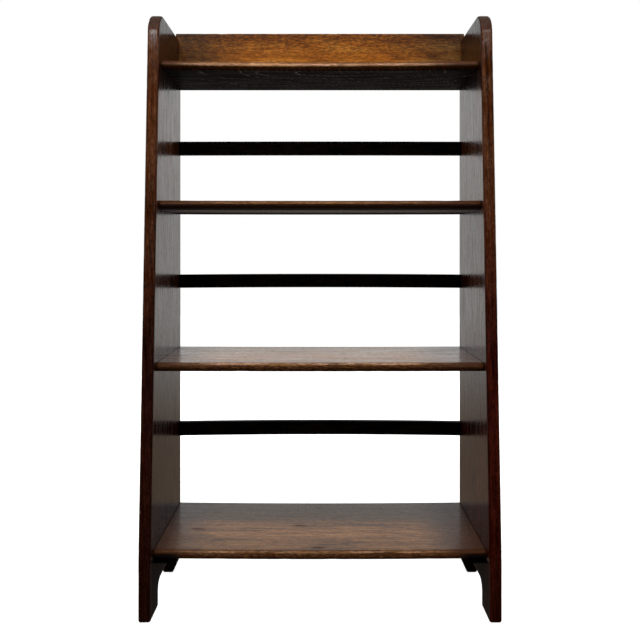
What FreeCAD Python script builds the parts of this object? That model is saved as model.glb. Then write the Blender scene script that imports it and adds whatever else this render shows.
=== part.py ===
import FreeCAD, Part
import math
import os

from FreeCAD import Vector

# Open-front oak bookcase: two tapered sides carry four housed shelves, a gallery board and three rails.
# Millimetres. +Z is up, the front faces -Y, and the origin is on the floor at the middle of the base.

# Outline of the case, seen from the side
CASE_WIDTH = 649.0
BASE_DEPTH = 281.0
TOP_DEPTH = 207.0            # where the line of the tapered front edge meets the flat top
KNEE_HEIGHT = 117.5          # the front edge is upright below the knee and leans back above it
KNEE_RADIUS = 600.0
SIDE_THICKNESS = 22.5
SIDE_RISE = 88.5             # side panel above the top shelf
TOP_CORNER_RADIUS = 42.0
ARRIS_RADIUS = 4.5           # round-over of the side panels' front and top edges

# Bracket feet cut in the bottom of each side
FRONT_FOOT_LENGTH = 65.0
REAR_FOOT_LENGTH = 76.0
ARCH_HEIGHT = 45.0
ARCH_RADIUS = 18.0

# Shelves and the clear heights between them, from the floor up
SHELF_THICKNESS = 16.5
FLOOR_GAP = 102.5
LOWER_BAY = 321.0
MIDDLE_BAY = 285.5
UPPER_BAY = 252.0
SHELF_SETBACK = 21.0         # nosing behind the front edge of the sides
NOSING_DEPTH = 11.0
HOUSING_DEPTH = 7.0
HOUSING_STOP = 8.0           # front end of a housing behind the nosing's flat
GLUE_LINE = 0.1              # clearance round each glued joint

# Gallery board on the back of the top shelf
GALLERY_HEIGHT = 101.5       # stands a little above the sides
GALLERY_THICKNESS = 16.0
GALLERY_HOUSING = 5.0
GALLERY_ARRIS = 2.0

# Back rails, near the middle of each bay
LOWER_RAIL_RISE = 162.5      # middle of a rail above the shelf under it
MIDDLE_RAIL_RISE = 141.5
UPPER_RAIL_RISE = 124.5
RAIL_HEIGHT = 28.5
RAIL_THICKNESS = 16.0
RAIL_ARRIS = 1.5
TENON_LENGTH = 10.0
TENON_HEIGHT = 19.0
TENON_THICKNESS = 8.0

# Oak pins through the sides into the shelf ends, and blind dowels under the gallery board
PIN_DIAMETER = 8.0
PIN_LENGTH = 46.0            # from the outer face of a side
PIN_INSET = 45.0             # from the ends of a housing
DOWEL_DIAMETER = 6.0
DOWEL_IN_SHELF = 10.0
DOWEL_IN_GALLERY = 20.0
DOWEL_COUNT = 3
DOWEL_SPACING = 230.0

# Places that follow from the sizes above
BACK = BASE_DEPTH / 2
FRONT = -BASE_DEPTH / 2
OUTER_FACE = CASE_WIDTH / 2
INNER_FACE = OUTER_FACE - SIDE_THICKNESS
BOTTOM_SHELF = FLOOR_GAP
MIDDLE_SHELF = BOTTOM_SHELF + SHELF_THICKNESS + LOWER_BAY
UPPER_SHELF = MIDDLE_SHELF + SHELF_THICKNESS + MIDDLE_BAY
TOP_SHELF = UPPER_SHELF + SHELF_THICKNESS + UPPER_BAY
GALLERY_FOOT = TOP_SHELF + SHELF_THICKNESS
SIDE_HEIGHT = GALLERY_FOOT + SIDE_RISE
SHELF_UNDERSIDES = {
    "shelf_bottom": BOTTOM_SHELF,
    "shelf_middle": MIDDLE_SHELF,
    "shelf_upper": UPPER_SHELF,
    "shelf_top": TOP_SHELF,
}
RAIL_MIDDLES = {
    "back_rail_lower": BOTTOM_SHELF + SHELF_THICKNESS + LOWER_RAIL_RISE,
    "back_rail_middle": MIDDLE_SHELF + SHELF_THICKNESS + MIDDLE_RAIL_RISE,
    "back_rail_upper": UPPER_SHELF + SHELF_THICKNESS + UPPER_RAIL_RISE,
}


def block(low, high):
    """Box between two corners."""
    size = Vector(*high) - Vector(*low)
    return Part.makeBox(size.x, size.y, size.z, Vector(*low))


def rounded_outline(corners):
    """Closed wire in the YZ plane through (y, z, radius) corners, each rounded by its radius."""
    points = [Vector(0, y, z) for y, z, radius in corners]
    radii = [radius for y, z, radius in corners]
    starts, ends, edges = [], [], []
    for index, corner in enumerate(points):
        to_last = (points[index - 1] - corner).normalize()
        to_next = (points[(index + 1) % len(points)] - corner).normalize()
        half_angle = to_last.getAngle(to_next) / 2
        reach = radii[index] / math.tan(half_angle)
        starts.append(corner + to_last * reach)
        ends.append(corner + to_next * reach)
        if radii[index] > 0:
            bisector = (to_last + to_next).normalize()
            crown = corner + bisector * (radii[index] / math.sin(half_angle) - radii[index])
            edges.append(Part.Arc(starts[index], crown, ends[index]).toShape())
    for index, end in enumerate(ends):
        edges.append(Part.LineSegment(end, starts[(index + 1) % len(starts)]).toShape())
    return Part.Wire(Part.__sortEdges__(edges))


def prism(outline, start, length):
    """Solid of a YZ outline, from a place along X."""
    face = Part.Face(outline)
    face.translate(Vector(start, 0, 0))
    return face.extrude(Vector(length, 0, 0))


def front_edge(height):
    """Y of the sides' front edge at a height above the floor."""
    lean = (BASE_DEPTH - TOP_DEPTH) / (SIDE_HEIGHT - KNEE_HEIGHT)
    return FRONT + lean * max(0.0, height - KNEE_HEIGHT)


def nosing_front(underside):
    """Y of a shelf's foremost line."""
    return front_edge(underside + SHELF_THICKNESS) + SHELF_SETBACK


def housing_front(underside):
    """Y where the housing of a shelf stops, hidden behind its nosing."""
    return nosing_front(underside) + NOSING_DEPTH + HOUSING_STOP


def pin_places():
    """Points on the axis of each shelf pin, in the plane of the case's middle."""
    places = []
    for underside in SHELF_UNDERSIDES.values():
        height = underside + SHELF_THICKNESS / 2
        places.append(Vector(0, housing_front(underside) + PIN_INSET, height))
        places.append(Vector(0, BACK - PIN_INSET, height))
    return places


def right_pins(fit=0.0):
    """Oak pins flush with the right side's outer face; with a fit, the holes that they go in."""
    face = Vector(OUTER_FACE, 0, 0)
    inwards = Vector(-1, 0, 0)
    return [Part.makeCylinder(PIN_DIAMETER / 2 + fit, PIN_LENGTH + fit, place + face, inwards)
            for place in pin_places()]


def gallery_dowels(fit=0.0):
    """Dowels between the top shelf and the bottom edge of the gallery board, or with a fit their holes."""
    depth = BACK - GALLERY_THICKNESS / 2
    foot = GALLERY_FOOT - DOWEL_IN_SHELF - fit
    length = DOWEL_IN_SHELF + DOWEL_IN_GALLERY + 2 * fit
    first = -DOWEL_SPACING * (DOWEL_COUNT - 1) / 2
    dowels = []
    for index in range(DOWEL_COUNT):
        place = Vector(first + DOWEL_SPACING * index, depth, foot)
        dowels.append(Part.makeCylinder(DOWEL_DIAMETER / 2 + fit, length, place))
    return dowels


def mirrored(shape):
    """The same piece on the left of the case."""
    return shape.mirror(Vector(0, 0, 0), Vector(1, 0, 0))


def shelf(underside):
    """Shelf board: elliptical nosing between the sides, and a full-thickness tongue at each end."""
    nose = nosing_front(underside)
    flat = nose + NOSING_DEPTH
    top = underside + SHELF_THICKNESS
    centre = Vector(0, flat, underside + SHELF_THICKNESS / 2)
    ellipse = Part.Ellipse(Vector(0, nose, centre.z), Vector(0, flat, top), centre)
    nosing = Part.ArcOfEllipse(ellipse, -math.pi / 2, math.pi / 2).toShape()
    board_edge = Part.makePolygon([Vector(0, flat, underside), Vector(0, BACK, underside),
                                   Vector(0, BACK, top), Vector(0, flat, top)])
    section = Part.Wire(Part.__sortEdges__([nosing] + board_edge.Edges))
    board = prism(section, -INNER_FACE, 2 * INNER_FACE)
    reach = INNER_FACE + HOUSING_DEPTH - GLUE_LINE
    tongues = block((-reach, housing_front(underside) + GLUE_LINE, underside), (reach, BACK, top))
    holes = right_pins(GLUE_LINE)
    holes += [mirrored(hole) for hole in holes]
    holes += gallery_dowels(GLUE_LINE)
    return board.fuse(tongues).removeSplitter().cut(holes)


def gallery_board():
    """Board on the back of the top shelf, its ends let into the sides and its top arrises eased."""
    reach = INNER_FACE + GALLERY_HOUSING - GLUE_LINE
    top = GALLERY_FOOT + GALLERY_HEIGHT
    board = block((-reach, BACK - GALLERY_THICKNESS, GALLERY_FOOT), (reach, BACK, top))
    top_edges = [edge for edge in board.Edges
                 if edge.BoundBox.ZMin > top - GLUE_LINE and edge.BoundBox.XLength > reach]
    return board.makeFillet(GALLERY_ARRIS, top_edges).cut(gallery_dowels(GLUE_LINE))


def tenons(middle, fit=0.0):
    """The stub tenons of a rail as one bar; with a fit, the pair of mortises that they go in."""
    depth = BACK - RAIL_THICKNESS / 2
    reach = INNER_FACE + TENON_LENGTH + fit
    half_thickness = TENON_THICKNESS / 2 + fit
    half_height = TENON_HEIGHT / 2 + fit
    return block((-reach, depth - half_thickness, middle - half_height),
                 (reach, depth + half_thickness, middle + half_height))


def back_rail(middle):
    """Rail flush with the back of the sides, shouldered against their inner faces."""
    bar = block((-INNER_FACE, BACK - RAIL_THICKNESS, middle - RAIL_HEIGHT / 2),
                (INNER_FACE, BACK, middle + RAIL_HEIGHT / 2))
    long_edges = [edge for edge in bar.Edges if edge.BoundBox.XLength > INNER_FACE]
    return bar.makeFillet(RAIL_ARRIS, long_edges).fuse(tenons(middle)).removeSplitter()


def right_side():
    """Side panel with bracket feet and eased edges, cut for the shelves, rails, gallery board and pins."""
    outline = rounded_outline([
        (BACK, 0, 0),
        (BACK, SIDE_HEIGHT, 0),
        (BACK - TOP_DEPTH, SIDE_HEIGHT, TOP_CORNER_RADIUS),
        (FRONT, KNEE_HEIGHT, KNEE_RADIUS),
        (FRONT, 0, 0),
    ])
    panel = prism(outline, INNER_FACE, SIDE_THICKNESS)
    rim = [edge for edge in panel.Edges
           if edge.BoundBox.XLength < GLUE_LINE
           and edge.BoundBox.YMin < BACK - GLUE_LINE
           and edge.BoundBox.ZMax > GLUE_LINE]
    panel = panel.makeFillet(ARRIS_RADIUS, rim)
    arch = rounded_outline([
        (FRONT + FRONT_FOOT_LENGTH, -ARCH_HEIGHT, 0),
        (FRONT + FRONT_FOOT_LENGTH, ARCH_HEIGHT, ARCH_RADIUS),
        (BACK - REAR_FOOT_LENGTH, ARCH_HEIGHT, ARCH_RADIUS),
        (BACK - REAR_FOOT_LENGTH, -ARCH_HEIGHT, 0),
    ])
    cuts = [prism(arch, INNER_FACE, SIDE_THICKNESS)] + right_pins(GLUE_LINE)
    for underside in SHELF_UNDERSIDES.values():
        roof = underside + SHELF_THICKNESS + GLUE_LINE
        cuts.append(block((0, housing_front(underside), underside - GLUE_LINE),
                          (INNER_FACE + HOUSING_DEPTH, BASE_DEPTH, roof)))
    for middle in RAIL_MIDDLES.values():
        cuts.append(tenons(middle, GLUE_LINE))
    cuts.append(block((0, BACK - GALLERY_THICKNESS - GLUE_LINE, GALLERY_FOOT),
                      (INNER_FACE + GALLERY_HOUSING, BASE_DEPTH, SIDE_HEIGHT + GALLERY_HEIGHT)))
    return panel.cut(cuts)


nodes = {"side_right": [right_side()]}
nodes["side_left"] = [mirrored(panel) for panel in nodes["side_right"]]
for name, shelf_underside in SHELF_UNDERSIDES.items():
    nodes[name] = [shelf(shelf_underside)]
nodes["gallery_board"] = [gallery_board()]
for name, rail_middle in RAIL_MIDDLES.items():
    nodes[name] = [back_rail(rail_middle)]
nodes["shelf_pins_right"] = right_pins()
nodes["shelf_pins_left"] = [mirrored(pin) for pin in nodes["shelf_pins_right"]]
nodes["gallery_dowels"] = gallery_dowels()

os.makedirs("parts", exist_ok=True)
for name, pieces in nodes.items():
    solids = [solid for piece in pieces for solid in piece.Solids]
    shape = solids[0] if len(solids) == 1 else Part.makeCompound(solids)
    shape.exportStep(f"parts/{name}.step")
    print(name, len(solids), "solids, valid", shape.isValid(), "volume", round(shape.Volume), "mm3")
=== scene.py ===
import math

import bmesh
import bpy
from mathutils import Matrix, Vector, noise


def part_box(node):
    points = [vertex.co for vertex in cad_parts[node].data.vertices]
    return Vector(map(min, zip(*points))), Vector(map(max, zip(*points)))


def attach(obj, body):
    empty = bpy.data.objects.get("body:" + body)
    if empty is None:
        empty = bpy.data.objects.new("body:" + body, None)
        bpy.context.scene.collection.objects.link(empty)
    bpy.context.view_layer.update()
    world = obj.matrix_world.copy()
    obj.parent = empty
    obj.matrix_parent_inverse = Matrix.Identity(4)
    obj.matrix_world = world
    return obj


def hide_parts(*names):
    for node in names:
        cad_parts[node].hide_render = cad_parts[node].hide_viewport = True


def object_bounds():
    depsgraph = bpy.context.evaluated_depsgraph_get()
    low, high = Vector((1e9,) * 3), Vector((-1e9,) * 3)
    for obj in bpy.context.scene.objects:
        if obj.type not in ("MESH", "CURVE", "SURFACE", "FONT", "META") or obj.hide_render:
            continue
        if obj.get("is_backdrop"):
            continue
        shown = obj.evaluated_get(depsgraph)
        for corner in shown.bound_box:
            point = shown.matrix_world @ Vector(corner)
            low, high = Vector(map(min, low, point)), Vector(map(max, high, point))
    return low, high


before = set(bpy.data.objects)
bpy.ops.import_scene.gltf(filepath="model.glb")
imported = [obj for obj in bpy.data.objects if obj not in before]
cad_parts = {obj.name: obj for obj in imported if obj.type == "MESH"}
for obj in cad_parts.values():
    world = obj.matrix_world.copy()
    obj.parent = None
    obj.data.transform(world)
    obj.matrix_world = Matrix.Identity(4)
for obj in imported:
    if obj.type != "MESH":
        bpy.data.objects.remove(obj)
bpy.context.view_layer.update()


# Side panels: two solid oak boards, sawn to a taper with a round top corner and an arch between two feet.
# Their edges are rubbed soft and bruised by long use. Dark polish and painted shade deepen towards the floor.

side_low, side_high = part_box("side_right")
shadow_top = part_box("shelf_bottom")[0].z
TAPER_TOP_DEPTH = 0.207      # depth where the line of the tapered front edge meets the flat top
KNEE_HEIGHT = 0.1175         # the front edge is upright below this height
KNEE_RADIUS = 0.600
TOP_CORNER_RADIUS = 0.042
FRONT_FOOT_LENGTH = 0.065
REAR_FOOT_LENGTH = 0.076
ARCH_HEIGHT = 0.045
ARCH_RADIUS = 0.018
TOE_RADIUS = 0.004
SIDE_ARRIS = 0.0045
SIDE_STEP = 0.008            # spacing of the cuts that let the edges be bruised

BRUISE_DEPTH = 0.0008
LARGE_DENTS = 55             # dents per metre
SMALL_DENTS = 140
SMALL_DENT_SHARE = 0.6
UNDENTED = 0.15

# Marks in the wood: their length along the fibres and width across them
BROAD_STREAK = (0.30, 0.022)
NARROW_STREAK = (0.11, 0.0042)
FINE_PORE = (0.016, 0.0012)
FLECK = (0.008, 0.0018)
RAY = (0.020, 0.006)
RUBBED_PATCH = (0.05, 0.012)
CLOUDS = 5.0                 # clouds of stain per metre
STREAK_SHARE = 0.40          # shares of the marks in the tone
CLOUD_SHARE = 0.20
RAY_SHARE = 0.18
PORE_SHARE = 0.75
TONE_START = -0.058
MEAN_LATE_WOOD = 0.24
DEEP_TO_BODY = (0.38, 0.56)  # tones between which one colour gives way to the next
BODY_TO_PALE = (0.54, 0.74)
GRAIN_BUMP = 0.20
GRAIN_DEPTH = 0.0005

OUTER_RINGS = (0.0062, math.radians(-2.3))    # spacing of the rings, and lean of the pith
PITH_AWAY = 0.26             # the boards were sawn from the outside of large logs
PITH_DEPTH = 0.01
PITH_HEIGHT = 0.4
RING_WAVES = (1.6, 7.0, 7.0)  # waves of the rings per metre, along the fibres and across them
RING_WAVE_SIZE = 0.035
YEAR_LENGTH = 0.4            # share of a ring in a stretch of years that grew alike
YEAR_SPREAD = 2.4

SIDE_DEEP = (0.016, 0.0036, 0.0009, 1.0)
SIDE_BODY = (0.062, 0.0150, 0.0030, 1.0)
SIDE_PALE = (0.140, 0.044, 0.012, 1.0)
SIDE_POLISH = (0.08, 0.34)
SIDE_SHINE = 0.45
# Paler rubbed wood, which also paints the highlights on the nosings and the sides' front edges
RUBBED_AND_HIGHLIT_OAK = (0.660, 0.370, 0.230, 1.0)
# Old dirt, also the colour of the painted shade towards the shelves' ends and on the lower nosings
DIRT_AND_SHADE = (0.046, 0.0145, 0.0047, 1.0)
# Dirt on the sides, greyed as a painted sheen on the top's end grain, and painting shade on the arrises
SIDE_DIRT_SHADE_AND_SHEEN = (0.038, 0.0220, 0.0165, 1.0)
# Near black: painted shadow under the bottom shelf and at its nosing's ends, and the dark joints
SHADOW_AND_JOINT_BLACK = (0.002, 0.002, 0.002, 1.0)
# Grime colours, which also paint shade that deepens towards the floor
LEFT_GRIME_AND_SHADE = (0.30, 0.18, 0.22, 1.0)
RIGHT_GRIME_AND_SHADE = (0.66, 0.24, 0.26, 1.0)
CLEAN = (1.0, 1.0, 1.0, 1.0)

# How much grime and painted shade each face takes; the feet are painted darker still
INNER_GRIME_AND_SHADE = 0.88
OUTER_GRIME_AND_SHADE = 0.50
GRIME_AND_SHADE_HEIGHTS = (0.40, 0.90)  # the grime and painted shade thin out between these heights
FOOT_HEIGHTS = (0.03, 0.14)
FOOT_SHADE = 0.40
SKIN = (0.0002, 0.0020)      # depths between which the finish of an inner face ends
INNER_DARK = 0.95
# Painted shade on the inner faces, and a dull patch, end along sloping lines. Each has the heights between
# which it ends, taken at the middle of the depth, and its fall for each metre towards the back.
UPPER_SHADE = (0.976, 0.984)
UPPER_SHADE_FALL = -0.22
# A black painted shadow under the bottom shelf and over the rear foot's arch
FOOT_SHADOW = (0.0445, 0.0490)
FOOT_SHADOW_FALL = 0.43
DULL_PATCH = (0.158, 0.170)
DULL_PATCH_FALL = 0.35
DULL_PATCH_SHARE = 0.76
SHADOW_EDGE = 0.0015
ARCH_SHADOW = (-0.012, 0.012)  # depths between which the painted shadow over the arch grows
REAR_SHADOW_FRONT = (0.045, 0.055)
REAR_SHADOW_BACK = (0.075, 0.085)
REAR_SHADOW_TOP = (0.048, 0.056)
OUTER_RIM = (0.004, 0.002)   # distances from the outer face between which the painted shadow ends

# Wear of the edges: rubbed above 0, dirty below it. Some values also paint highlights above 0 and shade
# below.
MATT_DIRT_AND_SHADOW = -2.0
MATT_DIRT_TOP = 0.11         # the inner faces of the feet are matt and dark below this height, with dirt and painted shade
# The end grain of the top is dirty, and greyed as a painted sheen
END_GRAIN_DIRT_AND_SHEEN = -1.25
END_GRAIN_SLOPE = 0.1        # height of the surface normal from which the end grain of the top counts
END_GRAIN_GROWTH = 3.5
# The eased arrises of the sides are painted dark, as painted shade
ARRIS_SHADE = -0.35
# The inner half of each front edge is rubbed paler, which also paints its highlight
INNER_EDGE_WEAR_AND_HIGHLIGHT = 0.075
OUTER_EDGE_WEAR = 0.03
UNWORN_BACK = 0.01


def add_node(tree, kind, inputs=None, **settings):
    """New node with its settings, and its inputs set to values or wired to other nodes' outputs."""
    node = tree.nodes.new(kind)
    for key, value in settings.items():
        setattr(node, key, value)
    for socket, value in (inputs or {}).items():
        if isinstance(value, bpy.types.NodeSocket):
            tree.links.new(value, node.inputs[socket])
        else:
            node.inputs[socket].default_value = value
    return node


def calculate(tree, operation, first, second=0.0, third=0.0):
    """Output of a Math node."""
    return add_node(tree, "ShaderNodeMath", {0: first, 1: second, 2: third}, operation=operation).outputs[0]


def calculate_vector(tree, operation, first, second):
    """Output of a Vector Math node."""
    node = add_node(tree, "ShaderNodeVectorMath", {0: first, 1: second}, operation=operation)
    return node.outputs["Vector"]


def length_of(tree, vector):
    """Length of a vector."""
    return add_node(tree, "ShaderNodeVectorMath", {0: vector}, operation="LENGTH").outputs["Value"]


def between(tree, value, start, end, low=0.0, high=1.0):
    """Output of a Map Range node: low at start, high at end, and smooth between them."""
    inputs = {"Value": value, "From Min": start, "From Max": end, "To Min": low, "To Max": high}
    return add_node(tree, "ShaderNodeMapRange", inputs, interpolation_type="SMOOTHSTEP").outputs[0]


def tinted(tree, factor, first, second, blend="MIX"):
    """Output of a colour Mix node."""
    return add_node(tree, "ShaderNodeMix", {"Factor": factor, "A": first, "B": second}, data_type="RGBA",
                    blend_type=blend).outputs["Result"]


def clouds(tree, place, scale):
    """Soft noise with that many clouds in a metre."""
    return add_node(tree, "ShaderNodeTexNoise", {"Vector": place, "Scale": scale, "Detail": 3.0}).outputs[0]


def fibre_noise(tree, fibres, length, width, detail=3.0):
    """Noise in streaks of about that length along the fibres and that width across them, in metres."""
    scale = (1 / length, 1 / width, 1 / width)
    stretched = add_node(tree, "ShaderNodeMapping", {"Vector": fibres, "Scale": scale}).outputs[0]
    return add_node(tree, "ShaderNodeTexNoise", {"Vector": stretched, "Scale": 1.0, "Detail": detail,
                                                 "Roughness": 0.6}).outputs[0]


def growth_rings(tree, fibres, spacing, lean):
    """Growth rings round the pith of a tapered log, waved as the tree grew: 0 is early wood and 1 late."""
    stretched = add_node(tree, "ShaderNodeMapping", {"Vector": fibres, "Scale": RING_WAVES}).outputs[0]
    wave = add_node(tree, "ShaderNodeTexNoise", {"Vector": stretched, "Scale": 1.0, "Detail": 2.0})
    wave = calculate_vector(tree, "SUBTRACT", wave.outputs["Color"], (0.5, 0.5, 0.5))
    wave = calculate_vector(tree, "MULTIPLY", wave, (RING_WAVE_SIZE, RING_WAVE_SIZE, RING_WAVE_SIZE))
    waved = calculate_vector(tree, "ADD", fibres, wave)
    log = add_node(tree, "ShaderNodeMapping", {"Vector": waved, "Rotation": (0, lean, 0)}).outputs[0]
    radius = length_of(tree, calculate_vector(tree, "MULTIPLY", log, (0.0, 1.0, 1.0)))
    years = add_node(tree, "ShaderNodeTexNoise", {"W": radius, "Scale": YEAR_LENGTH / spacing, "Detail": 1.0},
                     noise_dimensions="1D").outputs[0]
    uneven = calculate(tree, "MULTIPLY", years, YEAR_SPREAD)
    ring = calculate(tree, "FRACT", calculate(tree, "MULTIPLY_ADD", radius, 1 / spacing, uneven))
    growing = between(tree, ring, 0.0, 0.4)
    return calculate(tree, "MULTIPLY", growing, between(tree, ring, 0.8, 1.0, 1.0, 0.0))


def stained_oak(name, colours, polish, shade=None, figure=0.10, rings=OUTER_RINGS, dirt_and_shade_colour=DIRT_AND_SHADE, shine=0.5):
    """Stained oak as a solid texture. Polish gives the roughness of bright and dull fibres, and figure the
    share of the growth rings, which is negative where the early wood is the paler. Shade changes the colour
    and the dullness from place to place."""
    deep, body, pale = colours
    material = bpy.data.materials.new(name)
    material.use_nodes = True
    tree = material.node_tree
    shader = tree.nodes["Principled BSDF"]
    shader.inputs["Specular IOR Level"].default_value = shine
    place = add_node(tree, "ShaderNodeTexCoord").outputs["Object"]
    fibres = add_node(tree, "ShaderNodeAttribute", attribute_name="grain").outputs["Vector"]

    # Streaks of stain along the fibres, from broad bands to single pores
    broad = fibre_noise(tree, fibres, *BROAD_STREAK)
    narrow = fibre_noise(tree, fibres, *NARROW_STREAK)
    fine = fibre_noise(tree, fibres, *FINE_PORE, 2.0)
    flecks = fibre_noise(tree, fibres, *FLECK, 1.0)
    rays = fibre_noise(tree, fibres, *RAY, 1.0)
    pores = calculate(tree, "MULTIPLY", between(tree, fine, 0.34, 0.48, 0.30, 1.0),
                      between(tree, flecks, 0.38, 0.58, 0.55, 1.0))
    late_wood = growth_rings(tree, fibres, *rings)
    tone = calculate(tree, "MULTIPLY_ADD", broad, STREAK_SHARE, TONE_START - MEAN_LATE_WOOD * figure)
    tone = calculate(tree, "MULTIPLY_ADD", narrow, STREAK_SHARE, tone)
    tone = calculate(tree, "MULTIPLY_ADD", late_wood, figure, tone)
    tone = calculate(tree, "MULTIPLY_ADD", clouds(tree, fibres, CLOUDS), CLOUD_SHARE, tone)
    tone = calculate(tree, "MULTIPLY_ADD", rays, RAY_SHARE, tone)
    colour = tinted(tree, between(tree, tone, *DEEP_TO_BODY), deep, body)
    colour = tinted(tree, between(tree, tone, *BODY_TO_PALE), colour, pale)
    pore_share = between(tree, late_wood, 0.0, 0.6, PORE_SHARE + figure, PORE_SHARE - figure)
    colour = tinted(tree, pore_share, colour, pores, "MULTIPLY")

    # Rubbed arrises show paler wood in patches, and unrubbed edges are dark with old dirt. On some edges
    # these
    #     also paint highlights and shade.
    wear_and_painted_light = add_node(tree, "ShaderNodeAttribute", attribute_name="wear_and_painted_light").outputs["Fac"]
    patch = between(tree, fibre_noise(tree, fibres, *RUBBED_PATCH), 0.36, 0.58)
    patch = calculate(tree, "MULTIPLY", patch, between(tree, flecks, 0.40, 0.60, 0.25, 1.0))
    rubbed_and_highlit = calculate(tree, "MULTIPLY", calculate(tree, "MAXIMUM", wear_and_painted_light, 0.0), patch)
    colour = tinted(tree, rubbed_and_highlit, colour, RUBBED_AND_HIGHLIT_OAK)
    darkened = calculate(tree, "MULTIPLY", calculate(tree, "MINIMUM", wear_and_painted_light, 0.0), -0.80)
    darkened = calculate(tree, "MULTIPLY", darkened, between(tree, flecks, 0.42, 0.62, 1.20, 0.65))
    colour = tinted(tree, darkened, colour, dirt_and_shade_colour)

    # Polish: smooth over hard late wood, duller in the pores, with the open grain pressed in
    bright, dull = polish
    dullness = between(tree, narrow, 0.32, 0.68, bright, dull)
    dullness = calculate(tree, "MAXIMUM", dullness, between(tree, fine, 0.30, 0.44, 0.50, bright))
    if shade:
        colour, dullness = shade(tree, place, colour, dullness)
    tree.links.new(colour, shader.inputs["Base Color"])
    dullness = calculate(tree, "MULTIPLY", dullness, between(tree, wear_and_painted_light, 0.0, 0.03, 1.0, 0.5))
    dullness = calculate(tree, "MAXIMUM", dullness, between(tree, wear_and_painted_light, 0.20, 0.50, 0.0, 0.60))
    dullness = calculate(tree, "MAXIMUM", dullness, between(tree, wear_and_painted_light, -1.3, MATT_DIRT_AND_SHADOW, 0.0, 0.9))
    tree.links.new(dullness, shader.inputs["Roughness"])
    relief = calculate(tree, "MULTIPLY_ADD", pores, 0.5, narrow)
    pressed = {"Height": relief, "Strength": GRAIN_BUMP, "Distance": GRAIN_DEPTH}
    bump = add_node(tree, "ShaderNodeBump", pressed)
    tree.links.new(bump.outputs[0], shader.inputs["Normal"])
    return material


def grime_and_painted_shade(tree, place, colour, dullness):
    """Old polish and dirt with painted shade, darker and redder below the second shelf and thinner on the
    outer faces, and darker still over the feet. The right board took the stain redder. The inner faces carry
    painted shade by the top shelf, and a black painted shadow under the bottom one."""
    x, y, z = add_node(tree, "ShaderNodeSeparateXYZ", {0: place}).outputs
    outside = calculate(tree, "ABSOLUTE", x)
    skin = [side_low.x + depth for depth in SKIN]

    def sloping(fall):
        return calculate(tree, "MULTIPLY_ADD", y, fall, z)

    # Grime and painted shade darken the sides towards the floor
    amount = between(tree, outside, *skin, INNER_GRIME_AND_SHADE, 1.0)
    amount = between(tree, outside, side_high.x - SIDE_ARRIS, side_high.x - SKIN[0], amount, OUTER_GRIME_AND_SHADE)
    grime_and_shade = tinted(tree, calculate(tree, "GREATER_THAN", x, 0.0), LEFT_GRIME_AND_SHADE, RIGHT_GRIME_AND_SHADE)
    grime_and_shade = tinted(tree, between(tree, z, *GRIME_AND_SHADE_HEIGHTS), grime_and_shade, CLEAN)
    colour = tinted(tree, amount, colour, grime_and_shade, "MULTIPLY")

    inside = between(tree, outside, *skin, INNER_DARK, 0.0)
    # Painted shade on the inner faces under the top shelf and beside the gallery board
    upper_shade = between(tree, sloping(UPPER_SHADE_FALL), *UPPER_SHADE, 0.0, inside)
    colour = tinted(tree, upper_shade, colour, SIDE_DEEP)
    # A black painted shadow on the inner faces under the bottom shelf and over the rear foot, without shine
    under_shelf = between(tree, z, shadow_top, shadow_top + SHADOW_EDGE, inside, 0.0)
    foot_shadow = between(tree, sloping(FOOT_SHADOW_FALL), *FOOT_SHADOW)
    painted_shadow = calculate(tree, "MAXIMUM", foot_shadow, between(tree, y, *ARCH_SHADOW))
    painted_shadow = calculate(tree, "MULTIPLY", painted_shadow, under_shelf)
    not_outer = between(tree, outside, *[side_high.x - rim for rim in OUTER_RIM], 1.0, 0.0)
    rear_foot = between(tree, y, *REAR_SHADOW_BACK, not_outer, 0.0)
    rear_foot = calculate(tree, "MULTIPLY", between(tree, y, *REAR_SHADOW_FRONT), rear_foot)
    painted_shadow = calculate(tree, "MAXIMUM", painted_shadow, between(tree, z, *REAR_SHADOW_TOP, rear_foot, 0.0))
    colour = tinted(tree, painted_shadow, colour, SHADOW_AND_JOINT_BLACK)

    near_shelf = between(tree, sloping(DULL_PATCH_FALL), *DULL_PATCH, inside, 0.0)
    near_shelf = between(tree, z, shadow_top, shadow_top + SHADOW_EDGE, 0.0, near_shelf)
    matt = calculate(tree, "MAXIMUM", painted_shadow, calculate(tree, "MULTIPLY", near_shelf, DULL_PATCH_SHARE))
    shine = between(tree, matt, 0.0, INNER_DARK, SIDE_SHINE, 0.0)
    tree.links.new(shine, tree.nodes["Principled BSDF"].inputs["Specular IOR Level"])
    # The feet are painted darker still, as painted shade
    return tinted(tree, between(tree, z, *FOOT_HEIGHTS, FOOT_SHADE, 0.0), colour, SIDE_DEEP), dullness


def cut_along(bm, axis, step):
    """Cuts the whole mesh across an axis at even steps, so that it can be bent and bruised."""
    places = [vertex.co[axis] for vertex in bm.verts]
    start, end = min(places), max(places)
    direction = Vector((0, 0, 0))
    direction[axis] = 1
    for index in range(1, int((end - start) / step)):
        bmesh.ops.bisect_plane(bm, geom=bm.verts[:] + bm.edges[:] + bm.faces[:],
                               plane_co=direction * (start + index * step), plane_no=direction, dist=1e-4)


def face_outwards(bm):
    """Turns every face of a closed mesh to the outside."""
    bmesh.ops.recalc_face_normals(bm, faces=bm.faces[:])
    if bm.calc_volume(signed=True) < 0:
        bmesh.ops.reverse_faces(bm, faces=bm.faces[:])
    bm.normal_update()


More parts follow.
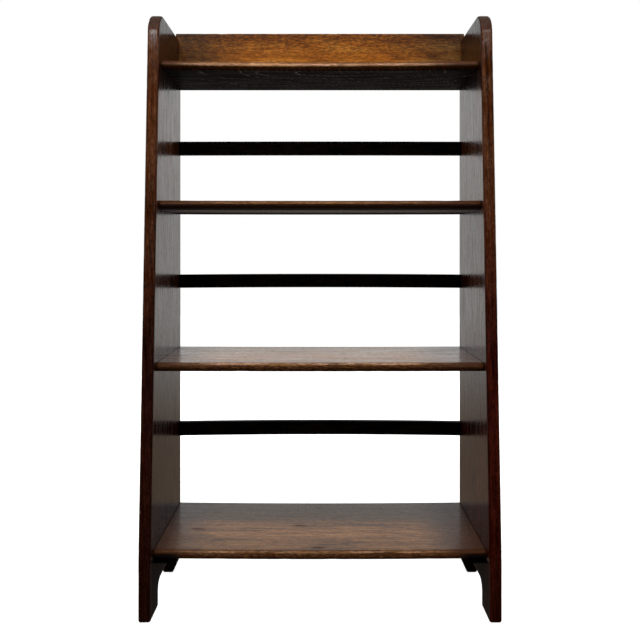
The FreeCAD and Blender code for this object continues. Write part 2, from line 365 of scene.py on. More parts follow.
def bruise(bm, wear_and_painted_light, depth):
    """Marks rubbed vertices from 0 to 1 and dirty ones down to -2, some of them as painted highlights and
    shade, and presses shallow dents into both.
    """
    layer = bm.verts.layers.float.new("wear_and_painted_light")
    face_outwards(bm)
    for vertex in bm.verts:
        vertex[layer] = wear_and_painted_light(vertex)
        if vertex[layer]:
            knock = noise.noise(vertex.co * LARGE_DENTS)
            knock += SMALL_DENT_SHARE * noise.noise(vertex.co * SMALL_DENTS)
            vertex.co -= vertex.normal * depth * max(0.0, knock - UNDENTED)


def board(bm, name, axes, pith, *materials):
    """Object of a finished board, smooth over its rounded edges and true on its flats. The axes are those
    along the fibres, across them and through the board, and the grain is measured from the log's pith."""
    grain = bm.verts.layers.float_vector.new("grain")
    for vertex in bm.verts:
        vertex[grain] = [vertex.co[axis] - pith[axis] for axis in axes]
    face_outwards(bm)
    mesh = bpy.data.meshes.new(name)
    bm.to_mesh(mesh)
    bm.free()
    for material in materials:
        mesh.materials.append(material)
    mesh.shade_smooth()
    mesh.set_sharp_from_angle(angle=math.radians(50))
    piece = bpy.data.objects.new(name, mesh)
    bpy.context.scene.collection.objects.link(piece)
    true_flats = piece.modifiers.new("true_flats", "WEIGHTED_NORMAL")
    true_flats.keep_sharp = True
    return piece


def moved_out(bm, faces, along):
    """Pulls faces out along a vector, with new walls behind them."""
    edges = {edge for face in faces for edge in face.edges}
    pulled = bmesh.ops.extrude_face_region(bm, geom=faces + list(edges))["geom"]
    moved = [part for part in pulled if isinstance(part, bmesh.types.BMVert)]
    bmesh.ops.translate(bm, vec=along, verts=moved)


def side_panel(name, inner, outer, material):
    """Side panel from its outline on the inner face, pulled out to the outer one, with its edges eased."""
    back, front, top = side_high.y, side_low.y, side_high.z
    arch_front, arch_rear = front + FRONT_FOOT_LENGTH, back - REAR_FOOT_LENGTH
    # Depth, height, radius and segments of each corner
    corners = [
        (back, 0, 0, 1),
        (back, top, 0, 1),
        (back - TAPER_TOP_DEPTH, top, TOP_CORNER_RADIUS, 16),
        (front, KNEE_HEIGHT, KNEE_RADIUS, 6),
        (front, 0, TOE_RADIUS, 4),
        (arch_front, 0, TOE_RADIUS, 4),
        (arch_front, ARCH_HEIGHT, ARCH_RADIUS, 8),
        (arch_rear, ARCH_HEIGHT, ARCH_RADIUS, 8),
        (arch_rear, 0, TOE_RADIUS, 4),
    ]
    bm = bmesh.new()
    points = [bm.verts.new((inner, y, z)) for y, z, radius, segments in corners]
    bm.faces.new(points)
    reaches = []
    for index, point in enumerate(points):
        to_last = points[index - 1].co - point.co
        to_next = points[(index + 1) % len(points)].co - point.co
        reaches.append(corners[index][2] / math.tan(to_last.angle(to_next) / 2))
    for point, reach, corner in zip(points, reaches, corners):
        if reach > 0:
            bmesh.ops.bevel(bm, geom=[point], offset=reach, offset_type="OFFSET", segments=corner[3],
                            profile=0.5, affect="VERTICES", material=-1)
    moved_out(bm, bm.faces[:], (outer - inner, 0, 0))
    face_outwards(bm)
    rims = [edge for edge in bm.edges if abs(edge.verts[0].co.x - edge.verts[1].co.x) < 1e-6
            and min(vertex.co.y for vertex in edge.verts) < back - 1e-6]
    bmesh.ops.bevel(bm, geom=rims, offset=SIDE_ARRIS, offset_type="OFFSET", segments=6, profile=0.5,
                    affect="EDGES", material=-1)
    cut_along(bm, 2, SIDE_STEP)
    middle, half = (inner + outer) / 2, abs(outer - inner) / 2

    def wear_and_painted_light(vertex):
        off_middle = abs(vertex.co.x - middle)
        # The inner faces of the feet are matt and dark with dirt and painted shade
        if abs(vertex.co.x - inner) < 1e-5 and vertex.co.z < MATT_DIRT_TOP:
            return MATT_DIRT_AND_SHADOW
        if off_middle > half - 1e-5 or vertex.co.y > back - UNWORN_BACK:
            return 0.0
        # The top's end grain is dirty, and greyed as a painted sheen
        if vertex.normal.z > END_GRAIN_SLOPE:
            return max(END_GRAIN_DIRT_AND_SHEEN, END_GRAIN_GROWTH * (END_GRAIN_SLOPE - vertex.normal.z))
        # The arrises are painted dark as painted shade
        if off_middle > half - 0.7 * SIDE_ARRIS:
            return ARRIS_SHADE
        # The inner half of the front edge is rubbed, and painted with a highlight
        return INNER_EDGE_WEAR_AND_HIGHLIGHT if abs(vertex.co.x) < abs(middle) else OUTER_EDGE_WEAR

    bruise(bm, wear_and_painted_light, BRUISE_DEPTH)
    pith = (inner - math.copysign(PITH_AWAY, inner), PITH_DEPTH, PITH_HEIGHT)
    return board(bm, name, (2, 1, 0), pith, material)


side_oak = stained_oak("side_oak", (SIDE_DEEP, SIDE_BODY, SIDE_PALE), SIDE_POLISH, grime_and_painted_shade,
                       dirt_and_shade_colour=SIDE_DIRT_SHADE_AND_SHEEN)
for node, sign in (("side_right", 1), ("side_left", -1)):
    panel = side_panel(node + "_panel", sign * side_low.x, sign * side_high.x, side_oak)
    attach(panel, "root")
    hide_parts(node)


# Shelves: four shelves of two oak boards glued edge to edge, housed in the sides, with a round nosing.
# The tops are polished by books sliding over them and the undersides are bare. All have sagged a little,
# the bottom one and the front of the top one the most.

NOSING_DEPTH = 0.011
HOUSING_STOP = 0.008
SHELF_STEP = 0.0125
DIRTY_CORNER = 0.0025        # dirt left in the corner between a shelf and a side
BACK_PROUD = 0.0002          # the shelves' back edges stand out a hair where the sides have shrunk
NOSE_BELOW = {"shelf_bottom": 0.80}    # the bottom shelf's nosing is planed thinner beneath
# Sag of each shelf's front and back edge: the gallery board holds the back of the top one straight
SHELF_SAG = {"shelf_bottom": (0.0020, 0.0020), "shelf_middle": (0.0006, 0.0006),
             "shelf_upper": (0.0006, 0.0006), "shelf_top": (0.0026, 0.0)}
SHELF_PITH = 0.03            # distance of the pith behind the front edge

# Rubbed, paler nosings, which also paint their highlights
NOSE_WEAR_AND_HIGHLIGHT = {"shelf_bottom": 0.55, "shelf_middle": 0.85, "shelf_upper": 0.09, "shelf_top": 0.45}
NOSE_END_WEAR_AND_HIGHLIGHT = {"shelf_upper": -0.60}    # the upper nosing is rubbed, and painted with its highlight, in the middle only
# Slopes of the nosing between which it is rubbed and painted with a highlight, as the height of the surface
# normal
RUBBED_HIGHLIT_SLOPES = {"shelf_bottom": (0.82, 0.985), "shelf_middle": (0.68, 0.985), "shelf_upper": (0.26, 0.70),
          "shelf_top": (-0.25, 0.60)}
# The lower nosings are dirty, and painted dark as shade
NOSE_DIRT_AND_SHADE = {"shelf_bottom": -1.05, "shelf_middle": -1.05, "shelf_upper": -1.60, "shelf_top": -1.35}
QUIRK_DIRT_AND_SHADE = -0.80           # thin dark line where the nosing meets the flat top: dirt, and painted shade where the reflection dips
SHADOWED_SLOPE = 0.64          # the bottom nosing is painted black with shadow under this slope near the sides
SHADOW_STARTS = 0.065          # distances from the sides
SHADOW_FULL = 0.030
BLACKENING_WEAR = -1.2             # wear at which dirt starts to turn black, as painted shadow and shade
BLACKENING_SHARE = 0.9

SHELF_DEEP = (0.075, 0.0260, 0.0075, 1.0)
SHELF_BODY = (0.245, 0.106, 0.033, 1.0)
SHELF_PALE = (0.430, 0.210, 0.080, 1.0)
SHELF_POLISH = (0.10, 0.32)
OVER_BOTTOM = (0.2, 0.4)     # heights that part the bottom shelf from those over it
BOTTOM_SHINE = 0.76
UPPER_SHINE = 0.88
DULL_END = (0.20, 0.28)      # the right end of the bottom shelf has lost its polish
DULL_END_SHINE = 0.34
DIRT_SHINE = 0.2             # share of the shine that is left under dirt
SHELF_CLOUDS = 14.0
BOARD_JOINT = 0.034          # depth of the glued joint between a shelf's two boards
# Tints of the rear board: darker and greyer on the bottom shelf, paler and greyer above
BOTTOM_REAR_TINT = (0.52, 0.60, 0.74, 1.0)
UPPER_REAR_TINT = (1.45, 1.80, 2.35, 1.0)
REAR_TINT_WANDER = 0.02
REAR_TINT_EDGE = (0.008, 0.018)
WORN_STRIP = (0.01, 0.07)    # distances from the middle of the depth between which the wear of use ends
WORN_BRIGHT = 1.25
UNWORN_DARK = 0.90
GLUE_EDGE = (0.0002, 0.0012)
GLUE_DARK = 0.35
UNSHADED_MIDDLE = -0.012        # the place along a shelf farthest from the painted shade at its ends
# Painted shade that darkens each shelf towards its ends, beside the sides
END_SHADE_WANDER = 0.06
END_SHADE_REACH = (0.20, 0.31)
END_SHADE_SHARE = 0.95
KNOTS = ((-0.237, -0.009, 0.119), (-0.040, 0.012, 0.119), (-0.002, -0.096, 0.119))
KNOT_SHAPE = (0.3, 1.3, 0.2)  # knots are drawn out along the fibres
KNOT_REACH = (0.001, 0.0080)
KNOT_DARK = 0.70

BARE_DEEP = (0.005, 0.0038, 0.0031, 1.0)
BARE_BODY = (0.008, 0.0065, 0.0055, 1.0)
BARE_PALE = (0.240, 0.205, 0.180, 1.0)
BARE_ROUGHNESS = (0.40, 0.70)
BARE_FIGURE = -0.50
BARE_RINGS = (0.016, math.radians(-15))
SAW_RADIUS = 0.25
SAW_CENTRE = -0.09
SAW_MARKS = 150.0            # saw marks per metre
SAW_DARK = 0.30
SAW_PALE = 5.0
# A pale grey painted sheen on the undersides below the top one, fading towards the front and the back
SHEEN_GREY = (0.57, 0.57, 0.58, 1.0)
SHEEN_GRAIN = 0.25            # share of the grain that shows through the painted sheen
SHEEN_FRONT = (-0.058, -0.012)
SHEEN_BACK = (0.030, 0.095)
SHEEN_LEFT = 0.10
# Painted shade that blackens the underside of the top shelf, which keeps almost no shine
TOP_UNDERSIDE_SHADE = (0.32, 0.32, 0.32, 1.0)
TOP_UNDERSIDE_HEIGHTS = (0.75, 1.0)
TOP_UNDERSIDE_SHINE = 0.02


def two_boards(tree, place, colour, dullness):
    """A few knots, a greyer rear board behind a thin glue line, and painted shade towards the ends. Painted
    shade blackens the darkest lower nosings, a painted shadow the bottom nosing's ends, and the joints are
    black."""
    x, y, z = add_node(tree, "ShaderNodeSeparateXYZ", {0: place}).outputs
    flaw = 0.0
    for knot in KNOTS:
        offset = calculate_vector(tree, "SUBTRACT", place, knot)
        away = length_of(tree, calculate_vector(tree, "MULTIPLY", offset, KNOT_SHAPE))
        flaw = calculate(tree, "MAXIMUM", flaw, between(tree, away, *KNOT_REACH, KNOT_DARK, 0.0))
    colour = tinted(tree, flaw, colour, DIRT_AND_SHADE)
    dullness = calculate(tree, "MAXIMUM", dullness, flaw)

    # The rear board is darker and greyer on the bottom shelf, and paler on those above
    behind = calculate(tree, "SUBTRACT", y, BOARD_JOINT)
    cloud = clouds(tree, place, SHELF_CLOUDS)
    rear_edge = calculate(tree, "MULTIPLY_ADD", cloud, REAR_TINT_WANDER, behind)
    over_bottom = between(tree, z, *OVER_BOTTOM)
    rear_tint = tinted(tree, over_bottom, BOTTOM_REAR_TINT, UPPER_REAR_TINT)
    grey = tinted(tree, 1.0, colour, rear_tint, "MULTIPLY")
    colour = tinted(tree, between(tree, rear_edge, *REAR_TINT_EDGE), colour, grey)
    worn = between(tree, calculate(tree, "ABSOLUTE", y), *WORN_STRIP, WORN_BRIGHT, UNWORN_DARK)
    colour = tinted(tree, 1.0, colour, worn, "MULTIPLY")
    glue = between(tree, calculate(tree, "ABSOLUTE", behind), *GLUE_EDGE, GLUE_DARK, 0.0)
    colour = tinted(tree, glue, colour, DIRT_AND_SHADE)
    # Painted shade darkens each shelf towards its ends
    off_middle = calculate(tree, "ABSOLUTE", calculate(tree, "SUBTRACT", x, UNSHADED_MIDDLE))
    reach = calculate(tree, "MULTIPLY_ADD", cloud, END_SHADE_WANDER, off_middle)
    colour = tinted(tree, between(tree, reach, *END_SHADE_REACH, 0.0, END_SHADE_SHARE), colour, DIRT_AND_SHADE)

    wear_and_painted_light = add_node(tree, "ShaderNodeAttribute", attribute_name="wear_and_painted_light").outputs["Fac"]
    shine = between(tree, x, *DULL_END, BOTTOM_SHINE, DULL_END_SHINE)
    shine = between(tree, z, *OVER_BOTTOM, shine, UPPER_SHINE)
    shine = calculate(tree, "MULTIPLY", shine, between(tree, wear_and_painted_light, -1.0, -0.4, DIRT_SHINE, 1.0))
    tree.links.new(shine, tree.nodes["Principled BSDF"].inputs["Specular IOR Level"])
    # Black painted shade on the darkest lower nosings, a painted shadow at the bottom nosing's ends, and dark
    # joints
    return tinted(tree, between(tree, wear_and_painted_light, BLACKENING_WEAR, MATT_DIRT_AND_SHADOW, 0.0, BLACKENING_SHARE), colour, SHADOW_AND_JOINT_BLACK), dullness


def saw_marks_shade_and_sheen(tree, place, colour, dullness):
    """Undersides with the sweeping marks of the saw. The top one is painted black as painted shade. Those
    below it carry a pale grey painted sheen, which fades towards the front and the back."""
    x, y, z = add_node(tree, "ShaderNodeSeparateXYZ", {0: place}).outputs
    depth = calculate(tree, "MULTIPLY_ADD", y, 1 / SAW_RADIUS, -SAW_CENTRE / SAW_RADIUS)
    sweep = calculate(tree, "SUBTRACT", 1.0, calculate(tree, "MULTIPLY", depth, depth))
    sweep = calculate(tree, "MULTIPLY_ADD", calculate(tree, "SQRT", sweep), SAW_RADIUS, x)
    saw = add_node(tree, "ShaderNodeTexNoise", {"W": sweep, "Scale": SAW_MARKS, "Detail": 3.0},
                   noise_dimensions="1D").outputs[0]
    colour = tinted(tree, 1.0, colour, between(tree, saw, 0.44, 0.66, SAW_DARK, SAW_PALE), "MULTIPLY")
    # Painted shade on the top underside, and a painted sheen on those below it
    shaded = tinted(tree, 1.0, colour, TOP_UNDERSIDE_SHADE, "MULTIPLY")
    sheen_strip = calculate(tree, "MULTIPLY", between(tree, y, *SHEEN_FRONT, SHEEN_LEFT, 1.0),
                      between(tree, y, *SHEEN_BACK, 1.0, SHEEN_LEFT))
    sheen = tinted(tree, 1.0, tinted(tree, SHEEN_GRAIN, SHEEN_GREY, colour), sheen_strip, "MULTIPLY")
    high_up = between(tree, z, *TOP_UNDERSIDE_HEIGHTS)
    shine = calculate(tree, "MULTIPLY", high_up, TOP_UNDERSIDE_SHINE)
    tree.links.new(shine, tree.nodes["Principled BSDF"].inputs["Specular IOR Level"])
    return tinted(tree, high_up, sheen, shaded), dullness


def shelf_board(node, *materials):
    """Shelf between the sides with its nosing, and a tongue at each end that goes into the housing."""
    low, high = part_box(node)
    half_thickness = (high.z - low.z) / 2
    middle = (high.z + low.z) / 2
    inner = side_low.x
    flat = low.y + NOSING_DEPTH
    blank_front = flat - half_thickness
    bm = bmesh.new()
    bmesh.ops.create_cube(bm, size=1.0)
    bmesh.ops.scale(bm, vec=(2 * inner, high.y - blank_front, high.z - low.z), verts=bm.verts[:])
    bmesh.ops.translate(bm, vec=(0, (high.y + blank_front) / 2, middle), verts=bm.verts[:])
    front_edges = [edge for edge in bm.edges if all(vertex.co.y < flat for vertex in edge.verts)
                   and abs(edge.verts[0].co.x - edge.verts[1].co.x) > inner]
    bmesh.ops.bevel(bm, geom=front_edges, offset=half_thickness - 1e-5, offset_type="OFFSET", segments=9,
                    profile=0.5, affect="EDGES", material=-1)
    nose = [vertex for vertex in bm.verts if vertex.co.y < flat - 1e-6]
    for vertex in nose:
        vertex.co.y = flat + (vertex.co.y - flat) * NOSING_DEPTH / half_thickness
        if vertex.co.z < middle:
            vertex.co.z = middle + (vertex.co.z - middle) * NOSE_BELOW.get(node, 1.0)
    shoulder = flat + HOUSING_STOP
    bmesh.ops.bisect_plane(bm, geom=bm.verts[:] + bm.edges[:] + bm.faces[:], plane_co=(0, shoulder, 0),
                           plane_no=(0, 1, 0), dist=1e-6)
    cut_along(bm, 0, SHELF_STEP)
    for place in (DIRTY_CORNER - inner, inner - DIRTY_CORNER):
        bmesh.ops.bisect_plane(bm, geom=bm.verts[:] + bm.edges[:] + bm.faces[:], plane_co=(place, 0, 0),
                               plane_no=(1, 0, 0), dist=1e-6)
    bm.normal_update()
    for sign in (1, -1):
        ends = [face for face in bm.faces if face.normal.x * sign > 0.9
                and face.calc_center_median().y > shoulder]
        moved_out(bm, ends, (sign * (high.x - inner), 0, 0))
    for face in bm.faces:
        face.material_index = 1 if face.normal.z < -0.9 else 0
    for vertex in bm.verts:
        if vertex.co.y > high.y - 1e-6:
            vertex.co.y += BACK_PROUD

    def wear_and_painted_light(vertex):
        from_side = inner - abs(vertex.co.x)
        slope = vertex.normal.z
        if from_side < 0.001:
            return MATT_DIRT_AND_SHADOW
        if vertex.co.y > flat + 0.001:
            return 0.0
        # A black painted shadow under the bottom nosing near the sides
        if node == "shelf_bottom" and slope < SHADOWED_SLOPE:
            shadowed = (SHADOW_STARTS - from_side) / (SHADOW_STARTS - SHADOW_FULL)
            return NOSE_DIRT_AND_SHADE[node] + (MATT_DIRT_AND_SHADOW - NOSE_DIRT_AND_SHADE[node]) * min(1.0, max(0.0, shadowed))
        rubbed_from, rubbed_to = RUBBED_HIGHLIT_SLOPES[node]
        # The lower nosing is dirty, and painted with shade
        if slope < rubbed_from:
            return NOSE_DIRT_AND_SHADE[node]
        if slope > rubbed_to:
            return QUIRK_DIRT_AND_SHADE
        # The rubbed band also paints the nosing's highlight
        end_wear = NOSE_END_WEAR_AND_HIGHLIGHT.get(node, NOSE_WEAR_AND_HIGHLIGHT[node])
        return NOSE_WEAR_AND_HIGHLIGHT[node] + (end_wear - NOSE_WEAR_AND_HIGHLIGHT[node]) * min(1.0, 2 * (vertex.co.x / inner) ** 2)

    bruise(bm, wear_and_painted_light, BRUISE_DEPTH)
    front_sag, back_sag = SHELF_SAG[node]
    for vertex in bm.verts:
        across = min(1.0, abs(vertex.co.x) / inner)
        backwards = (vertex.co.y - low.y) / (high.y - low.y)
        vertex.co.z -= (front_sag + (back_sag - front_sag) * backwards) * (1 - across * across)
    pith = (low.z, low.y + SHELF_PITH, low.z - PITH_AWAY)
    return board(bm, node + "_board", (0, 1, 2), pith, *materials)


shelf_oak = stained_oak("shelf_oak", (SHELF_DEEP, SHELF_BODY, SHELF_PALE), SHELF_POLISH, two_boards,
                        figure=0.04)
bare_oak = stained_oak("bare_oak", (BARE_DEEP, BARE_BODY, BARE_PALE), BARE_ROUGHNESS, saw_marks_shade_and_sheen,
                       figure=BARE_FIGURE, rings=BARE_RINGS)
for node in SHELF_SAG:
    shelf = shelf_board(node, shelf_oak, bare_oak)
    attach(shelf, "root")
    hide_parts(node)


# Back rails: three narrow oak bars tenoned into the sides, flush with their back edges.
# They were stained dark, and are painted almost black as painted shade. They have bowed upwards a little
# since, the lower two the most.

RAIL_ARRIS = 0.0015
RAIL_BOW = {"back_rail_lower": 0.0026, "back_rail_middle": 0.0014, "back_rail_upper": 0.0004}
TENON_SHOULDER = 0.004
RAIL_STEP = 0.0125
RAIL_EDGE_WEAR = 0.02
# Near-black colours: a dark stain, darkened further as painted shade
RAIL_DEEP = (0.0008, 0.0005, 0.0004, 1.0)
RAIL_BODY = (0.0018, 0.0010, 0.0007, 1.0)
RAIL_PALE = (0.0040, 0.0022, 0.0014, 1.0)
RAIL_POLISH = (0.45, 0.60)
RAIL_SHINE = 0.05


def rail_bar(node, material):
    """Rail with eased long edges and a stub tenon at each end, bowed upwards."""
    low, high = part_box(node)
    inner = side_low.x
    bm = bmesh.new()
    bmesh.ops.create_cube(bm, size=1.0)
    bmesh.ops.scale(bm, vec=(2 * inner, high.y - low.y, high.z - low.z), verts=bm.verts[:])
    bmesh.ops.translate(bm, vec=(0, (high.y + low.y) / 2, (high.z + low.z) / 2), verts=bm.verts[:])
    long_edges = [edge for edge in bm.edges if abs(edge.verts[0].co.x - edge.verts[1].co.x) > inner]
    bmesh.ops.bevel(bm, geom=long_edges, offset=RAIL_ARRIS, offset_type="OFFSET", segments=3, profile=0.5,
                    affect="EDGES", material=-1)
    for end in [face for face in bm.faces if abs(face.normal.x) > 0.9]:
        outwards = end.normal * (high.x - inner)
        bmesh.ops.inset_region(bm, faces=[end], thickness=TENON_SHOULDER, use_even_offset=True)
        moved_out(bm, [end], outwards)
    cut_along(bm, 0, RAIL_STEP)

    def wear_and_painted_light(vertex):
        on_arris = 0.1 < abs(vertex.normal.z) < 0.9
        return RAIL_EDGE_WEAR if on_arris and abs(vertex.co.x) < inner else 0.0

    bruise(bm, wear_and_painted_light, BRUISE_DEPTH / 2)
    bow = RAIL_BOW[node]
    for vertex in bm.verts:
        across = min(1.0, abs(vertex.co.x) / inner)
        vertex.co.z += bow * (1 - across * across)
    return board(bm, node + "_bar", (0, 2, 1), (low.z, low.y - PITH_AWAY, low.z), material)


rail_oak = stained_oak("rail_oak", (RAIL_DEEP, RAIL_BODY, RAIL_PALE), RAIL_POLISH, shine=RAIL_SHINE)
for node in RAIL_BOW:
    rail = rail_bar(node, rail_oak)
    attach(rail, "root")
    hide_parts(node)


# Gallery board: an oak upstand doweled to the back of the top shelf, its ends let into the sides.
# It is the brightest piece, rubbed to a warm orange in the middle and dark and dull at the ends.

GALLERY_ARRIS = 0.0020
GALLERY_LET_IN = 0.0018      # the ends bed this much deeper in the sides
GALLERY_EDGE_DIRT = -1.0
GALLERY_PITH_SIDEWAYS = 0.2
GALLERY_PITH_RISE = 0.02
GALLERY_DEEP = (0.130, 0.036, 0.0035, 1.0)
GALLERY_BODY = (0.390, 0.118, 0.0070, 1.0)
GALLERY_PALE = (0.540, 0.205, 0.022, 1.0)
GALLERY_POLISH = (0.28, 0.45)
GALLERY_SHINE = 0.25
GALLERY_CLOUDS = 11.0
GALLERY_WANDER = 0.16
GALLERY_DULL_ENDS = (0.20, 0.36)
GALLERY_DULL_TINT = (0.40, 0.50, 1.10, 1.0)


def dull_ends(tree, place, colour, dullness):
    """Colour that fades from the rubbed middle of the board to its dull ends."""
    along = add_node(tree, "ShaderNodeSeparateXYZ", {0: place}).outputs["X"]
    cloud = clouds(tree, place, GALLERY_CLOUDS)
    reach = calculate(tree, "MULTIPLY_ADD", cloud, GALLERY_WANDER, calculate(tree, "ABSOLUTE", along))
    dull = tinted(tree, 1.0, colour, GALLERY_DULL_TINT, "MULTIPLY")
    return tinted(tree, between(tree, reach, *GALLERY_DULL_ENDS), colour, dull), dullness


def top_edge_dirt(vertex):
    """Wear of the gallery board: dirt along its top edge."""
    return GALLERY_EDGE_DIRT if vertex.co.z > gallery_top - 1.1 * GALLERY_ARRIS else 0.0


low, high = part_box("gallery_board")
gallery_top = high.z
high.y += BACK_PROUD
low.x -= GALLERY_LET_IN
high.x += GALLERY_LET_IN
bm = bmesh.new()
bmesh.ops.create_cube(bm, size=1.0)
bmesh.ops.scale(bm, vec=high - low, verts=bm.verts[:])
bmesh.ops.translate(bm, vec=(high + low) / 2, verts=bm.verts[:])
top_edges = [edge for edge in bm.edges if all(vertex.co.z > gallery_top - 1e-6 for vertex in edge.verts)]
bmesh.ops.bevel(bm, geom=top_edges, offset=GALLERY_ARRIS, offset_type="OFFSET", segments=4, profile=0.5,
                affect="EDGES", material=-1)
cut_along(bm, 0, SHELF_STEP)
bruise(bm, top_edge_dirt, BRUISE_DEPTH)
gallery_oak = stained_oak("gallery_oak", (GALLERY_DEEP, GALLERY_BODY, GALLERY_PALE), GALLERY_POLISH,
                          dull_ends, shine=GALLERY_SHINE)
gallery_pith = (GALLERY_PITH_SIDEWAYS, low.y - PITH_AWAY, low.z + GALLERY_PITH_RISE)
gallery = board(bm, "gallery_upstand", (0, 2, 1), gallery_pith, gallery_oak)
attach(gallery, "root")
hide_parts("gallery_board")


# Oak pins: short pegs driven through the sides into the shelf ends and cut off at the outer face.
# The sides have shrunk round them, so their end grain stands a hair proud and looks darker.

PIN_RADIUS = 0.0040
PIN_PROUD = 0.0003
PIN_INSET = 0.045
PIN_PITH = (0, 0.05, 0.05)
PEG_RIM = 0.0005
PEG_FACETS = 24
PIN_DEEP = (0.012, 0.004, 0.002, 1.0)
PIN_BODY = (0.040, 0.015, 0.007, 1.0)
PIN_PALE = (0.085, 0.034, 0.016, 1.0)
PIN_POLISH = (0.30, 0.50)

pin_oak = stained_oak("pin_oak", (PIN_DEEP, PIN_BODY, PIN_PALE), PIN_POLISH)


def add_peg(bm, tip, outwards, radius, length):
    """Round peg that ends at a tip, with the tip's rim eased."""
    peg = bmesh.ops.create_cone(bm, cap_ends=True, segments=PEG_FACETS, radius1=radius, radius2=radius,
                                depth=length)["verts"]
    tip_ring = [vertex for vertex in peg if vertex.co.z > 0]
    rim = {edge for vertex in tip_ring for edge in vertex.link_edges if edge.other_vert(vertex) in tip_ring}
    turn = Vector((0, 0, 1)).rotation_difference(outwards).to_matrix()
    bmesh.ops.rotate(bm, verts=peg, matrix=turn)
    bmesh.ops.translate(bm, verts=peg, vec=tip - outwards * length / 2)
    bmesh.ops.bevel(bm, geom=list(rim), offset=PEG_RIM, offset_type="OFFSET", segments=2, profile=0.5,
                    affect="EDGES", material=-1)


pin_low, pin_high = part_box("shelf_pins_right")
pin_length = pin_high.x - pin_low.x + PIN_PROUD
for node, sign in (("shelf_pins_right", 1), ("shelf_pins_left", -1)):
    bm = bmesh.new()
    for shelf_node in SHELF_SAG:
        low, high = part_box(shelf_node)
        for depth in (low.y + NOSING_DEPTH + HOUSING_STOP + PIN_INSET, high.y - PIN_INSET):
            tip = Vector((sign * (pin_high.x + PIN_PROUD), depth, (low.z + high.z) / 2))
            add_peg(bm, tip, Vector((sign, 0, 0)), PIN_RADIUS, pin_length)
    pins = board(bm, node + "_pegs", (0, 1, 2), PIN_PITH, pin_oak)
    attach(pins, "root")
    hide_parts(node)


# Dowels: three bare oak pegs hidden between the top shelf and the gallery board.
# They are plain turned rod, never stained, and glued into holes in both boards.

DOWEL_RADIUS = 0.0030
DOWEL_PITH = (0.05, 0, 0)
DOWEL_DEEP = (0.20, 0.11, 0.05, 1.0)
DOWEL_BODY = (0.32, 0.19, 0.09, 1.0)
DOWEL_PALE = (0.42, 0.27, 0.14, 1.0)
DOWEL_ROUGHNESS = (0.55, 0.70)

low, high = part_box("gallery_dowels")
middle = (low + high) / 2
bm = bmesh.new()
for place in (low.x + DOWEL_RADIUS, middle.x, high.x - DOWEL_RADIUS):
    add_peg(bm, Vector((place, middle.y, high.z)), Vector((0, 0, 1)), DOWEL_RADIUS, high.z - low.z)
dowel_oak = stained_oak("dowel_oak", (DOWEL_DEEP, DOWEL_BODY, DOWEL_PALE), DOWEL_ROUGHNESS)
dowels = board(bm, "gallery_dowel_pegs", (2, 0, 1), DOWEL_PITH, dowel_oak)
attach(dowels, "root")
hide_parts("gallery_dowels")


# Studio: a pale floor that keeps a soft shadow, a white backdrop, and soft lamps. The main lamp hangs above
# and in front, nearest the top of the bookcase, so the light fades towards the feet.

FLOOR_HALF = 6.0
FLOOR_GLOW = 0.90            # brightness that the white floor keeps in full shadow
GLOW_REACH = (0.5, 1.5)      # distances between which the floor turns to the white of the backdrop
FLOOR_COLOUR = (0.80, 0.80, 0.80, 1.0)
FLOOR_BOUNCE = (0.25, 0.24, 0.23, 1.0)
AMBIENT = 0.22
AMBIENT_COLOUR = (1.0, 1.0, 1.0, 1.0)
# What the polish mirrors, by the direction in which it lies
ROOM_IN_FRONT = 0.03         # brightness of the dark room in front
FRONT_TO_BEHIND = (0.15, 0.50)
HIGH_BEHIND = 0.12           # brightness high up behind
LEVEL_TO_HIGH = (0.12, 0.52)
FLOOR_BEHIND = (0.18, 0.135, 0.10, 1.0)
HORIZON_BEHIND = (0.66, 0.65, 0.635, 1.0)
FLOOR_TO_HORIZON = (-0.26, -0.05)
BACKDROP = (0.95, 0.95, 0.95, 1.0)
HORIZON_TO_BACKDROP = (0.0, 0.30)

bm = bmesh.new()
bmesh.ops.create_grid(bm, x_segments=1, y_segments=1, size=FLOOR_HALF)
floor_mesh = bpy.data.meshes.new("floor")
bm.to_mesh(floor_mesh)
bm.free()
floor = bpy.data.objects.new("floor", floor_mesh)
bpy.context.scene.collection.objects.link(floor)
floor_paint = bpy.data.materials.new("floor_paint")
floor_paint.use_nodes = True
tree = floor_paint.node_tree
tree.nodes.clear()
rays = add_node(tree, "ShaderNodeLightPath").outputs
away = length_of(tree, add_node(tree, "ShaderNodeTexCoord").outputs["Object"])
shown = tinted(tree, rays["Is Camera Ray"], FLOOR_BOUNCE, FLOOR_COLOUR)
chalk = add_node(tree, "ShaderNodeBsdfDiffuse", {"Color": shown}).outputs[0]
glow = calculate(tree, "MULTIPLY", between(tree, away, *GLOW_REACH, FLOOR_GLOW, 1.0), rays["Is Camera Ray"])
glow = add_node(tree, "ShaderNodeEmission", {"Strength": glow}).outputs[0]
lit = add_node(tree, "ShaderNodeAddShader", {0: chalk, 1: glow}).outputs[0]
clear = add_node(tree, "ShaderNodeBsdfTransparent").outputs[0]
paint = add_node(tree, "ShaderNodeMixShader", {0: rays["Is Glossy Ray"], 1: lit, 2: clear}).outputs[0]
add_node(tree, "ShaderNodeOutputMaterial", {"Surface": paint})
floor_mesh.materials.append(floor_paint)
floor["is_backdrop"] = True

world = bpy.data.worlds.new("studio")
bpy.context.scene.world = world
world.use_nodes = True
tree = world.node_tree
tree.nodes.clear()
direction = add_node(tree, "ShaderNodeTexCoord").outputs["Generated"]
direction = add_node(tree, "ShaderNodeSeparateXYZ", {0: direction}).outputs
behind = between(tree, direction["Y"], *FRONT_TO_BEHIND, ROOM_IN_FRONT, 1.0)
above = between(tree, direction["Z"], *LEVEL_TO_HIGH, 1.0, HIGH_BEHIND)
lit_behind = calculate(tree, "MULTIPLY", behind, above)
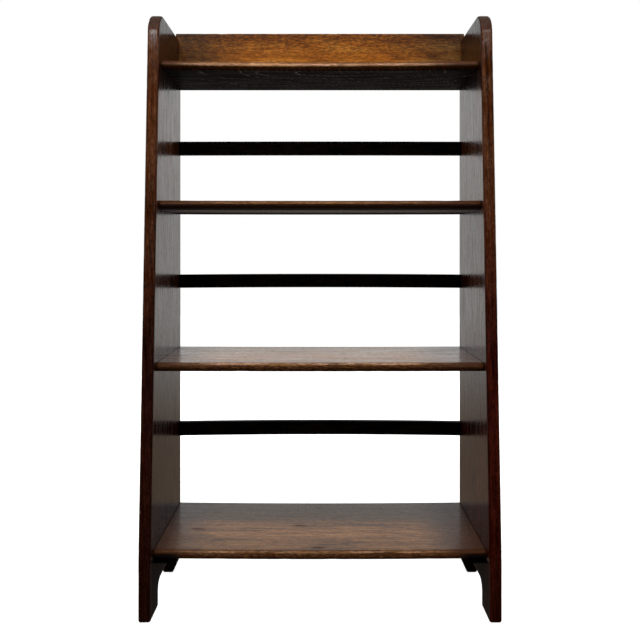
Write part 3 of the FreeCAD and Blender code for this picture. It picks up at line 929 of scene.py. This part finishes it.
view_behind = tinted(tree, between(tree, direction["Z"], *FLOOR_TO_HORIZON), FLOOR_BEHIND, HORIZON_BEHIND)
view_behind = tinted(tree, between(tree, direction["Z"], *HORIZON_TO_BACKDROP), view_behind, BACKDROP)
rays = add_node(tree, "ShaderNodeLightPath").outputs
mirrored = calculate(tree, "MAXIMUM", rays["Is Glossy Ray"], rays["Is Transmission Ray"])
colour = tinted(tree, mirrored, AMBIENT_COLOUR, view_behind)
strength = add_node(tree, "ShaderNodeMix", {"Factor": mirrored, "A": AMBIENT, "B": lit_behind})
strength = calculate(tree, "MAXIMUM", strength.outputs["Result"], rays["Is Camera Ray"])
backdrop = add_node(tree, "ShaderNodeBackground", {"Color": colour, "Strength": strength}).outputs[0]
add_node(tree, "ShaderNodeOutputWorld", {"Surface": backdrop})


def soft_lamp(name, place, target, size, power, shows_in_polish=True):
    """Rectangular soft lamp aimed at a point."""
    lamp = bpy.data.lights.new(name, "AREA")
    lamp.shape = "RECTANGLE"
    lamp.size, lamp.size_y = size
    lamp.energy = power
    holder = bpy.data.objects.new(name, lamp)
    holder.location = place
    holder.rotation_euler = (Vector(target) - Vector(place)).to_track_quat("-Z", "Y").to_euler()
    holder.visible_glossy = shows_in_polish
    bpy.context.scene.collection.objects.link(holder)


soft_lamp("front_lamp", (0.0, -0.80, 2.05), (0.0, -0.05, 0.85), (1.3, 0.7), 28.0, False)
soft_lamp("ceiling_lamp", (0.0, -0.50, 2.40), (0.0, -0.10, 0.60), (1.7, 0.35), 4.0, False)
soft_lamp("left_window", (-0.70, -1.75, 2.06), (-0.31, -0.08, 1.07), (0.26, 0.40), 2.4)
soft_lamp("right_window", (0.70, -1.75, 2.06), (0.31, -0.08, 1.07), (0.26, 0.40), 1.2)
soft_lamp("left_lamp", (-2.2, 0.3, 1.1), (0.0, 0.0, 0.6), (1.2, 1.6), 12.0, False)
soft_lamp("right_lamp", (2.2, 0.3, 1.1), (0.0, 0.0, 0.6), (1.2, 1.6), 12.0, False)
soft_lamp("back_lamp", (0.0, 2.4, 1.3), (0.0, 0.0, 0.6), (1.6, 1.2), 16.0, False)


# Camera: level, at the height of the middle opening, with its frame shifted down as in the photograph.
# The lens and the place come from the lines of the bookcase in the photograph.

CAMERA_PLACE = (0.0, -1.4465, 0.6645)
CAMERA_LENS = 41.26
CAMERA_SHIFT = -0.1090
SENSOR_WIDTH = 36.0

lens = bpy.data.cameras.new("camera")
lens.sensor_width = SENSOR_WIDTH
lens.lens = CAMERA_LENS
lens.shift_y = CAMERA_SHIFT
camera = bpy.data.objects.new("camera", lens)
camera.location = CAMERA_PLACE
camera.rotation_euler = (math.radians(90), 0, 0)
bpy.context.scene.collection.objects.link(camera)
bpy.context.scene.camera = camera
bpy.context.scene.view_settings.view_transform = "Standard"

low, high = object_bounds()
